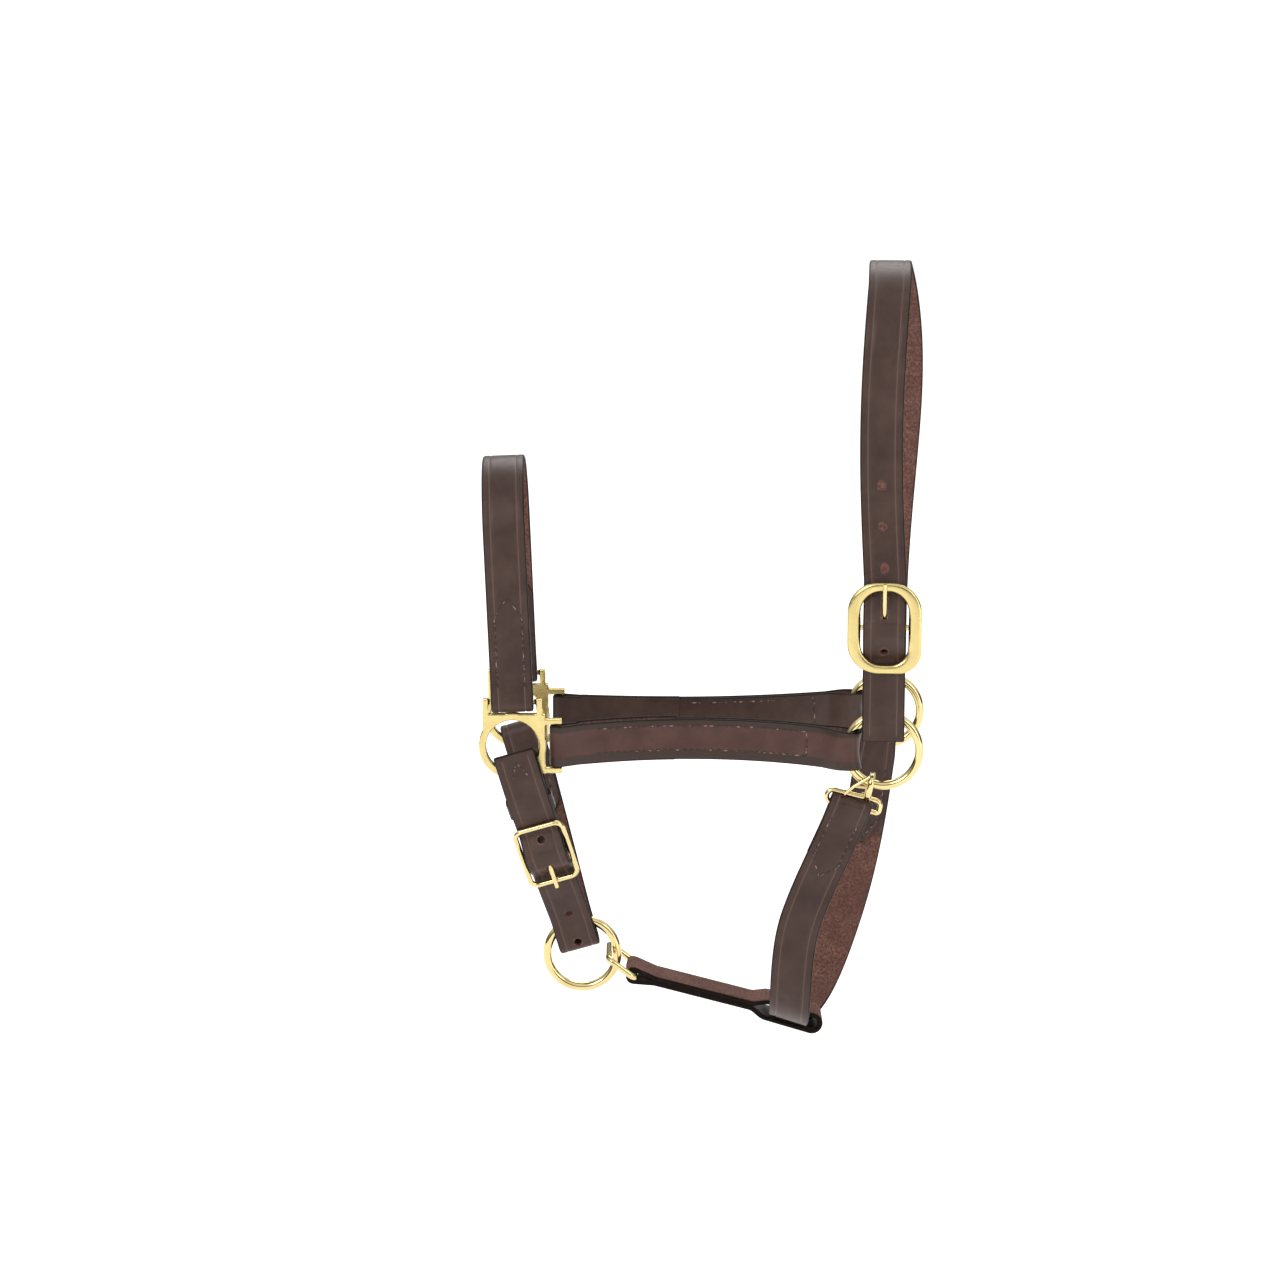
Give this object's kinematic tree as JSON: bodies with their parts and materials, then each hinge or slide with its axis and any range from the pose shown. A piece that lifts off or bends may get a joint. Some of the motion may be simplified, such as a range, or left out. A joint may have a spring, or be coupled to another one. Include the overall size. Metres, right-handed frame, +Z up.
{
  "type": "leather headcollar",
  "caption": "Stable headcollar of doubled leather straps on brass rings, with buckled crown and chin, and a snap at the throat.",
  "frame": {"origin": "middle of the noseband's inner face, where it rests on the horse's nose", "axes": "+X back along the cheeks towards the poll, +Y to the off side, +Z up through the noseband"},
  "size_m": [0.2761, 0.1356, 0.4813],
  "materials": {
    "bridle_leather": "satin, waxed, burnished edges",
    "polished_brass": "polished",
    "cast_brass": "satin cast"
  },
  "bodies": {
    "head_frame": {"noseband": "bridle_leather", "near_square": "cast_brass", "far_square": "cast_brass", "near_cheek_strap": "bridle_leather", "far_cheek_strap": "bridle_leather"},
    "near_ring": {"near_cheek_ring": "polished_brass"},
    "far_ring": {"far_cheek_ring": "polished_brass"},
    "crown": {"crown_strap": "bridle_leather", "crown_chape": "bridle_leather", "crown_buckle_frame": "cast_brass"},
    "crown_tongue": {"crown_buckle_tongue": "polished_brass"},
    "throat": {"throat_strap": "bridle_leather", "snap_hook_body": "polished_brass", "snap_gate_pin": "polished_brass"},
    "gate": {"snap_gate": "polished_brass"},
    "chin": {"chin_strap": "bridle_leather", "chin_chape": "bridle_leather", "chin_keeper": "bridle_leather", "chin_buckle_frame": "polished_brass"},
    "chin_tongue": {"chin_buckle_tongue": "polished_brass"},
    "lead_ring": {"chin_ring": "polished_brass"},
    "link": {"oval_link": "polished_brass"},
    "back": {"back_strap": "bridle_leather"}
  },
  "joints": [
    {"name": "near_ring_turn", "type": "hinge", "parent": "head_frame", "child": "near_ring", "pos_m": [0.22864, -0.05304, -0.1666], "axis": [0.0781, 0.9969, 0], "continuous": true},
    {"name": "far_ring_turn", "type": "hinge", "parent": "head_frame", "child": "far_ring", "pos_m": [0.23696, 0.05304, -0.1666], "axis": [0.0781, 0.9969, 0], "continuous": true},
    {"name": "crown_swing", "type": "hinge", "parent": "head_frame", "child": "crown", "pos_m": [0.2328, 0, -0.1666], "axis": [0.0781, 0.9969, 0], "range_deg": [0, 35]},
    {"name": "crown_tongue_lift", "type": "hinge", "parent": "crown", "child": "crown_tongue", "pos_m": [0.22782, -0.0636, -0.0891], "axis": [0.9969, -0.0781, 0], "range_deg": [0, 6]},
    {"name": "throat_swing", "type": "hinge", "parent": "head_frame", "child": "throat", "pos_m": [0.2328, 0, -0.1666], "axis": [0.0781, 0.9969, 0], "range_deg": [-3.5, 3.5]},
    {"name": "snap_gate_open", "type": "hinge", "parent": "throat", "child": "gate", "pos_m": [0.2192, -0.04648, -0.19537], "axis": [0.9702, -0.076, -0.23], "range_deg": [0, 12], "stiffness_Nm_per_rad": 0.01, "springref_deg": -17.19},
    {"name": "chin_swing", "type": "hinge", "parent": "head_frame", "child": "chin", "pos_m": [0.0056, 0, -0.1666], "axis": [0, 1, 0], "range_deg": [-5, 5]},
    {"name": "chin_tongue_lift", "type": "hinge", "parent": "chin", "child": "chin_tongue", "pos_m": [0.02535, -0.03481, -0.23546], "axis": [-0.9613, 0, -0.2756], "range_deg": [0, 6]},
    {"name": "lead_ring_turn", "type": "hinge", "parent": "chin", "child": "lead_ring", "pos_m": [0.04667, 0, -0.30983], "axis": [0, 1, 0], "continuous": true},
    {"name": "link_swing", "type": "hinge", "parent": "chin", "child": "link", "pos_m": [0.04667, 0, -0.30983], "axis": [0, 1, 0], "range_deg": [-6, 6]},
    {"name": "back_strap_swing", "type": "hinge", "parent": "link", "child": "back", "pos_m": [0.07951, 0, -0.3211], "axis": [0, 1, 0], "range_deg": [-5, 5]}
  ],
  "couplings": [
    {"joint": "throat_swing", "follows": "chin_swing", "ratio": 0.67014},
    {"joint": "link_swing", "follows": "chin_swing", "ratio": -1},
    {"joint": "back_strap_swing", "follows": "chin_swing", "ratio": -0.80499}
  ]
}
